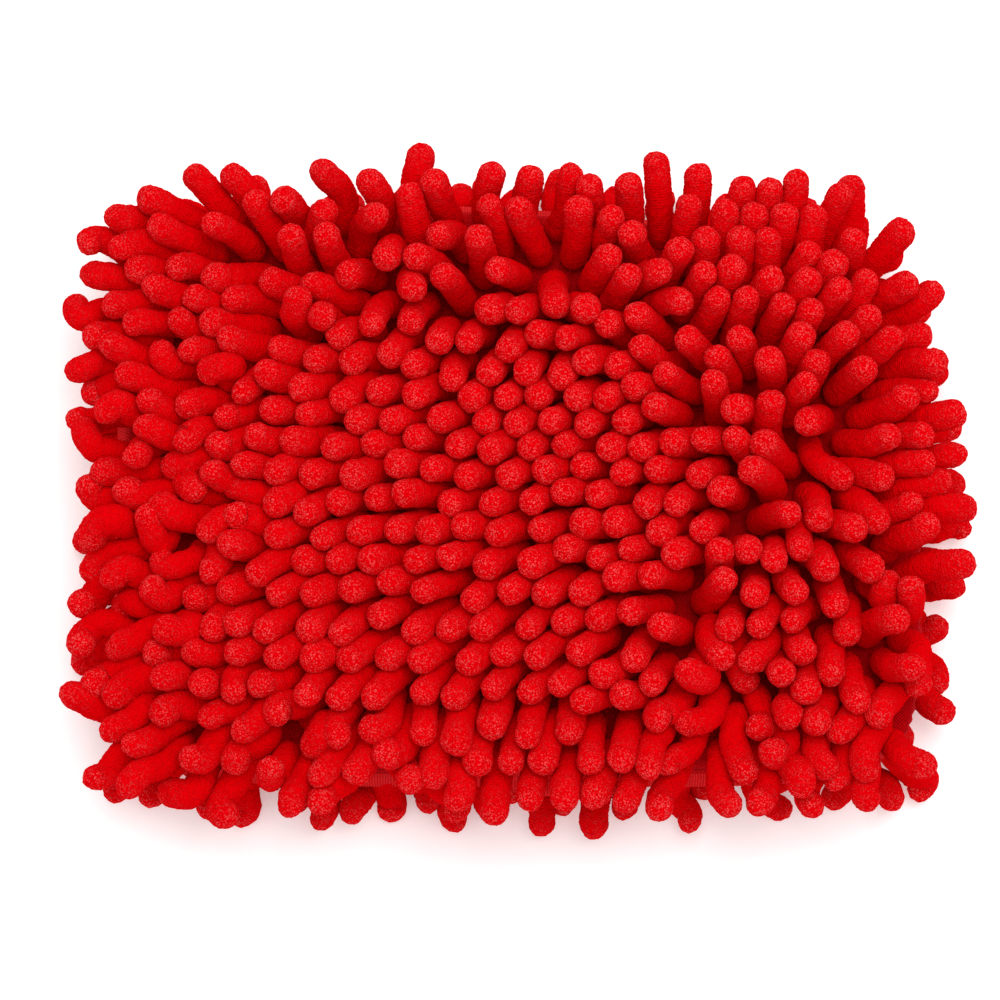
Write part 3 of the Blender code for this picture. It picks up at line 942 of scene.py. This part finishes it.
def strip(name, place, outward, run, section, wobble=None):
    """A strip of cloth swept along an edge. place(run) is the body's edge, outward the way out of the body, and section
    the two sides of the cloth, as lists of (out, height) with the same number of points."""
    left, right = np.array(section[0], float) * MM, np.array(section[1], float) * MM
    ring = np.concatenate([left, right[::-1]])
    m, n = len(ring), len(run)
    ex, ey = place(run)
    wx, wy = outward(run) if callable(outward) else outward
    wx, wy = np.broadcast_to(wx, (n,))[:, None], np.broadcast_to(wy, (n,))[:, None]
    out = np.repeat(ring[None, :, 0], n, 0)
    z = np.repeat(ring[None, :, 1], n, 0)
    if wobble is not None:
        dout, dz = wobble(run)
        far = np.clip(out / (9 * MM), 0, 1)
        out, z = out + dout[:, None] * far, z + dz[:, None] * far
    hang = droop(ex, ey)[:, None]
    level, far = z - T_Z * MM, np.maximum(out, 0)
    out = np.where(out > 0, far * np.cos(hang) - level * np.sin(hang) * np.clip(far / MM, 0, 1), out)
    z = T_Z * MM + level - far * np.sin(hang)
    px, py = lie(ex[:, None] + wx * out, ey[:, None] + wy * out)
    v = np.stack([px, py, z], -1).reshape(-1, 3)
    i = np.arange(n - 1)[:, None] * m
    j = np.arange(m)[None, :]
    j1 = (j + 1) % m
    quads = np.stack([i + j, i + j1, i + m + j1, i + m + j], -1).reshape(-1, 4)
    h = m // 2
    jj = np.arange(h - 1)
    cap = np.stack([jj, m - 1 - jj, m - 2 - jj, jj + 1], -1)
    quads = np.concatenate([quads, cap[:, ::-1][:, ::-1], cap[:, ::-1] + (n - 1) * m])
    step = np.concatenate([[0], np.cumsum(np.linalg.norm(np.diff(ring, axis=0), axis=1))]) / MM
    return v, quads, np.repeat(run / MM, m), np.tile(step, n)


def outward_faces(me):
    """Turns every face of each closed shell outward."""
    import bmesh

    bm = bmesh.new()
    bm.from_mesh(me)
    bmesh.ops.recalc_face_normals(bm, faces=bm.faces)
    bm.to_mesh(me)
    bm.free()


def strip_object(name, parts):
    vs, qs, runs, crosses, off = [], [], [], [], 0
    for v, q, run, cross in parts:
        vs.append(v), qs.append(q + off), runs.append(run), crosses.append(cross)
        off += len(v)
    ob = mesh_object(
        name, np.concatenate(vs), np.concatenate(qs), True, None,
        {"run": np.concatenate(runs), "across": np.concatenate(crosses)},
    )
    outward_faces(ob.data)
    return ob


def round_corner(run):
    """The way out of the closed end, turning through a right angle where the binding goes round each corner."""
    turn = np.clip((np.abs(run) - HALF_W) / TAPE_OUT, 0, 1) * math.pi / 2
    return -np.cos(turn), np.sign(run) * np.sin(turn)


EDGES = {
    "front": (lambda r: (r, np.full_like(r, -HALF_W)), (0.0, -1.0)),
    "back": (lambda r: (r, np.full_like(r, HALF_W)), (0.0, 1.0)),
    "end": (lambda r: (np.full_like(r, -HALF_L), r), (-1.0, 0.0)),
}


def fold_section(out0, out1, half, thick):
    """A tape folded over an edge: down one side, round the fold and back, as two lists for its two faces."""
    a = np.linspace(math.pi / 2, -math.pi / 2, 11)
    outer = [(out0 + (out1 - half - out0) * t, T_Z + half - 0.25 * t * (1 - t)) for t in np.linspace(0, 1, 7)[:-1]]
    outer += [(out1 - half + half * math.cos(w), T_Z + half * math.sin(w)) for w in a]
    outer += [(out0 + (out1 - half - out0) * t, T_Z - half + 0.25 * t * (1 - t)) for t in np.linspace(1, 0, 7)[1:]]
    k = half - thick
    inner = [(out0 + (out1 - half - out0) * t, T_Z + k - 0.2 * t * (1 - t)) for t in np.linspace(0, 1, 7)[:-1]]
    inner += [(out1 - half + k * math.cos(w), T_Z + k * math.sin(w)) for w in a]
    inner += [(out0 + (out1 - half - out0) * t, T_Z - k + 0.2 * t * (1 - t)) for t in np.linspace(1, 0, 7)[1:]]
    return outer, inner


def tape_wave(seed):
    def wave(run):
        p = np.stack([run, np.zeros_like(run), np.zeros_like(run)], -1)
        slow, quick = noise3(p, 26 * MM, seed), noise3(p, 7 * MM, seed + 1)
        return (0.35 * slow + 0.12 * quick) * MM, (0.5 * slow + 0.2 * quick) * MM

    return wave


def stitches(name, place, outward, run0, run1, out, height, pitch, radius=0.00030, wave=None):
    """A line of lockstitches: each a bowed, twisted bit of thread that dives into the cloth at both ends."""
    n = int((run1 - run0) / pitch)
    m, around = 15, 8
    start = run0 + (np.arange(n) + 0.5) * (run1 - run0) / n
    t = np.linspace(-1, 1, m)
    run = start[:, None] + t[None, :] * pitch * 0.46
    bow = (1 - t**4)[None, :] * radius * 1.3 - radius * 0.9
    o = np.full_like(run, out) + 0.10 * MM * t[None, :] * np.where(np.arange(n) % 2, 1, 1)[:, None]
    z = height + bow + np.zeros_like(run)
    if wave is not None:
        dout, dz = wave(run.ravel())
        far = out / (9 * MM)
        o, z = o + dout.reshape(run.shape) * far, z + dz.reshape(run.shape) * far
    ex, ey = place(run.ravel())
    ex, ey = ex.reshape(run.shape), ey.reshape(run.shape)
    if outward != (0, 0):
        hang = droop(ex, ey)
        level = z - T_Z * MM
        o, z = o * np.cos(hang) - level * np.sin(hang), T_Z * MM + level * np.cos(hang) - o * np.sin(hang)
    px, py = lie(ex + outward[0] * o, ey + outward[1] * o)
    c = np.stack([px, py, z], -1)
    tan = unit(np.gradient(c, axis=1))
    side = unit(np.cross(tan, np.array([0, 0, 1.0])))
    up = np.cross(side, tan)
    a = np.arange(around) / around * 2 * math.pi
    fat = radius * (0.30 + 0.70 * np.sqrt(np.clip(1 - t**6, 0, 1)))
    twist = 1 + 0.12 * np.cos(2 * a[None, :] + 5.0 * math.pi * t[:, None])
    ring = fat[None, :, None, None] * twist[None, :, :, None] * (
        np.cos(a)[None, None, :, None] * side[:, :, None, :] + np.sin(a)[None, None, :, None] * up[:, :, None, :]
    )
    v = (c[:, :, None, :] + ring).reshape(n, -1, 3)
    v = np.concatenate([v, c[:, :1], c[:, -1:]], 1)
    k = np.arange(m - 1)[:, None] * around
    j = np.arange(around)[None, :]
    j1 = (j + 1) % around
    q = np.stack([k + j, k + j1, k + around + j1, k + around + j], -1).reshape(-1, 4)
    jj = np.arange(around)
    last = (m - 1) * around
    tri = np.concatenate([
        np.stack([(jj + 1) % around, jj, np.full(around, m * around)], -1),
        np.stack([last + jj, last + (jj + 1) % around, np.full(around, m * around + 1)], -1),
    ])
    per = m * around + 2
    off = (np.arange(n) * per)[:, None, None]
    runs = np.concatenate([np.repeat(run / MM, around, axis=1), run[:, :1] / MM, run[:, -1:] / MM], 1)
    across = np.concatenate([np.tile(np.tile(a, m), (n, 1)), np.zeros((n, 2))], 1)
    ob = mesh_object(
        name, v.reshape(-1, 3), (q[None] + off).reshape(-1, 4), True, (tri[None] + off).reshape(-1, 3),
        {"run": runs.ravel(), "across": across.ravel()},
    )
    outward_faces(ob.data)
    return ob


for word, (place, outward) in EDGES.items():
    axis = 1 if word == "end" else 0
    panel = "end_panel" if word == "end" else f"side_panel_{word}"
    flange_out = 6.0
    # the turned edge: a wall between the two base cloths, and a flange that the binding holds
    lo, hi = node_box(panel)
    run = np.arange(lo[axis], hi[axis] + 0.1 * MM, (hi[axis] - lo[axis]) / (170))
    z0, z1 = T_Z - 1.52, T_Z + 1.50
    levels = np.concatenate([np.linspace(z0, T_Z + 0.4, 7)[:-1], np.linspace(T_Z + 0.4, z1, 15)])
    wall = ([(-0.05, z) for z in levels], [(-0.75, z) for z in levels])
    outs = np.linspace(0.0, flange_out, 8)
    flange = ([(o, T_Z + 0.28) for o in outs], [(o, T_Z - 0.28) for o in outs])
    parts = [strip(panel, place, outward, run, wall), strip(panel, place, outward, run, flange, tape_wave(60 + axis))]
    ob = strip_object(f"turned_edge_{word}", parts)
    zs, ze = (0, 0, (T_Z + 0.42) * MM), (0, 0, (T_Z + 1.42) * MM)
    finish_piece(ob, BASE, panel, gusset=(zs, ze))
    # the folded binding
    lo, hi = node_box(f"binding_{word}")
    run = np.arange(lo[axis], hi[axis] + 0.1 * MM, (hi[axis] - lo[axis]) / (700))
    wave = tape_wave(60 + axis + (1 if word == "back" else 0))
    if word == "end":
        around_corner = lambda r: (np.full_like(r, -HALF_L), np.clip(r, -HALF_W, HALF_W))
        v, q, r, across = strip(f"binding_{word}", around_corner, round_corner, run, fold_section(0.4, 8.4, 1.55, 0.62), wave)
    else:
        v, q, r, across = strip(f"binding_{word}", place, outward, run, fold_section(0.4, 8.4, 1.55, 0.62), wave)
    # raised ribs across the tape
    v = v.reshape(len(run), -1, 3)
    centre = v.mean(1, keepdims=True)
    rib = 0.045 * MM * np.sin(2 * math.pi * run / (0.85 * MM))
    v = v + unit(v - centre) * rib[:, None, None]
    v = v.reshape(-1, 3)
    ob = strip_object(f"bound_edge_{word}", [(v, q, r, across)])
    finish_piece(ob, TAPE, f"binding_{word}", "root")
    # one line of stitches through the binding
    lo, hi = node_box(f"seam_thread_{word}")
    ob = stitches(
        f"seam_stitches_{word}", place, outward, float(lo[axis]), float(hi[axis]), 4.6 * MM,
        (T_Z + 1.55) * MM + 0.12 * MM, 2.9 * MM, wave=wave,
    )
    finish_piece(ob, THREAD, f"seam_thread_{word}", "root")

# ---- the mouth: gathered hems, elastics and their stitches ------------------------------------------------------------
for word, upper, body in (("upper", True, "upper_half"), ("lower", False, "root")):
    lo, hi = node_box(f"mouth_hem_{word}")
    run = np.linspace(lo[1] + 2.0 * MM, hi[1] - 2.0 * MM, 420)
    p = np.stack([run, np.zeros_like(run), np.zeros_like(run)], -1)
    phase = 2 * math.pi * run / (4.4 * MM) + 1.4 * noise3(p, 11 * MM, 71 + upper)
    gather = np.sin(phase)

    def casing(x0, x1, d0, d1, soft, amount):
        """A flat tube's cross-section between two levels, for every place along the mouth."""
        a = np.linspace(0, 2 * math.pi, 29)[:-1]
        cx, cd, hx, hd = (x0 + x1) / 2, (d0 + d1) / 2, (x1 - x0) / 2, (d1 - d0) / 2
        ca, sa = np.cos(a), np.sin(a)
        e = 2.0 / soft
        sx = np.sign(ca) * np.abs(ca) ** e * hx + cx
        sd = np.sign(sa) * np.abs(sa) ** e * hd + cd
        open_side = np.clip((sx - cx) / hx, -1, 1)
        gx = np.repeat(sx[None], len(run), 0) + 0.30 * MM * gather[:, None] * (open_side > 0.6)
        swell = amount * gather[:, None] * (0.6 + 0.4 * open_side)[None, :]
        gd = sd[None] + swell * np.sign(sa)[None, :]
        gy = np.repeat(run[:, None], len(a), 1)
        z = depth_z(gx, gy, upper, np.maximum(gd, 0.05 * MM))
        px, py = lie(gx, gy)
        return np.stack([px, py, z], -1)

    def tube(rings, flip):
        n, m, _ = rings.shape
        i = np.arange(n - 1)[:, None] * m
        j = np.arange(m)[None, :]
        j1 = (j + 1) % m
        q = np.stack([i + j, i + j1, i + m + j1, i + m + j], -1).reshape(-1, 4)
        return q[:, ::-1] if flip else q

    x0, x1 = lo[0] + 0.2 * MM, hi[0] + 1.2 * MM
    out_r = casing(x0, x1, 0.30 * MM, 2.75 * MM, 3.4, 0.20 * MM)
    in_r = casing(x0 + 0.6 * MM, x1 - 0.6 * MM, 0.78 * MM, 2.27 * MM, 3.4, 0.16 * MM)
    n, m = out_r.shape[:2]
    v = np.concatenate([out_r.reshape(-1, 3), in_r.reshape(-1, 3)])
    j = np.arange(m)
    j1 = (j + 1) % m
    base_in = n * m
    end0 = np.stack([j, j1, base_in + j1, base_in + j], -1)
    end1 = np.stack([(n - 1) * m + j, base_in + (n - 1) * m + j, base_in + (n - 1) * m + j1, (n - 1) * m + j1], -1)
    q = np.concatenate([tube(out_r, False), tube(in_r, True) + base_in, end0, end1])
    ob = mesh_object(f"gathered_hem_{word}", v, q)
    outward_faces(ob.data)
    finish_piece(ob, HEM, f"mouth_hem_{word}", body)

    # the elastic inside the hem
    lo, hi = node_box(f"mouth_elastic_{word}")
    run = np.linspace(lo[1] + 8.0 * MM, hi[1] - 8.0 * MM, 380)
    phase = 2 * math.pi * run / (4.4 * MM)
    gather = np.zeros_like(run)
    ring = casing(lo[0] + 0.8 * MM, hi[0], 1.10 * MM, 1.95 * MM, 6.0, 0.0)
    n, m = ring.shape[:2]
    mid = ring.mean(1)
    v = np.concatenate([ring.reshape(-1, 3), mid[:1], mid[-1:]])
    j = np.arange(m)
    tri = np.concatenate([
        np.stack([(j + 1) % m, j, np.full(m, n * m)], -1),
        np.stack([(n - 1) * m + j, (n - 1) * m + (j + 1) % m, np.full(m, n * m + 1)], -1),
    ])
    across = np.tile((ring[0, :, 0] - ring[0, :, 0].min()) / MM, n)
    ob = mesh_object(
        f"elastic_band_{word}", v, tube(ring, False), True, tri,
        {"run": np.concatenate([np.repeat(run / MM, m), [run[0] / MM, run[-1] / MM]]), "across": np.concatenate([across, [0, 0]])},
    )
    outward_faces(ob.data)
    finish_piece(ob, ELASTIC, f"mouth_elastic_{word}", body)

    # one line of stitches along the hem, on the side that faces the hand
    lo, hi = node_box(f"hem_thread_{word}")
    sx = float(lo[0] + hi[0]) / 2
    ob = stitches(
        f"hem_stitches_{word}", lambda r: (np.full_like(r, sx), r), (0, 0), float(lo[1]), float(hi[1]), 0.0, 0.0, 2.9 * MM
    )
    co = np.zeros(len(ob.data.vertices) * 3, np.float32)
    ob.data.vertices.foreach_get("co", co)
    co = co.reshape(-1, 3).astype(float)
    ux, uy = unlie(co[:, 0], co[:, 1])
    sgn = 1.0 if upper else -1.0
    co[:, 2] = depth_z(ux, uy, upper, 2.98 * MM) - sgn * co[:, 2]
    ob.data.vertices.foreach_set("co", co.astype(np.float32).ravel())
    outward_faces(ob.data)
    ob.data.update()
    finish_piece(ob, THREAD, f"hem_thread_{word}", body)

# ---- floor, light, camera ---------------------------------------------------------------------------------------------
scene = bpy.context.scene
scene.view_settings.view_transform = "Standard"
scene.view_settings.look = "None"

fl = mesh_object("floor", [(-3, -3, 0), (3, -3, 0), (3, 3, 0), (-3, 3, 0)], [(0, 1, 2, 3)], False)
fm = Nodes("floor_white")
fm.p.inputs["Base Color"].default_value = (0.97, 0.97, 0.97, 1)
fm.p.inputs["Roughness"].default_value = 0.8
fm.p.inputs["Specular IOR Level"].default_value = 0.1
fm.p.inputs["Emission Color"].default_value = (1.0, 1.0, 1.0, 1)
fm.p.inputs["Emission Strength"].default_value = 0.22
fl.data.materials.append(fm.m)

world = bpy.data.worlds.new("studio")
scene.world = world
world.use_nodes = True
bg = world.node_tree.nodes["Background"]
bg.inputs["Color"].default_value = (1.0, 1.0, 1.0, 1)
bg.inputs["Strength"].default_value = 0.82


def area(name, at, look, size, power, size_y=None):
    li = bpy.data.lights.new(name, "AREA")
    li.energy = power
    li.size = size
    if size_y:
        li.shape = "RECTANGLE"
        li.size_y = size_y
    ob = bpy.data.objects.new(name, li)
    ob.location = at
    ob.rotation_euler = (Vector(look) - Vector(at)).to_track_quat("-Z", "Y").to_euler()
    scene.collection.objects.link(ob)
    return ob


area("key", (0.22, 0.30, 1.5), (0, 0, 0.03), 1.0, 13.0)

TARGET = Vector((-0.0066, -0.0049, 0.030))
DIST, ELEV = 1.0, math.radians(80)
cam = bpy.data.cameras.new("camera")
cam.sensor_width = 36
cam.lens = 36 * DIST / 0.317
cam.clip_start = 0.01
cam_ob = bpy.data.objects.new("camera", cam)
cam_ob.location = TARGET + Vector((0, -math.cos(ELEV), math.sin(ELEV))) * DIST
cam_ob.rotation_euler = (TARGET - cam_ob.location).to_track_quat("-Z", "Y").to_euler()
scene.collection.objects.link(cam_ob)
scene.camera = cam_ob
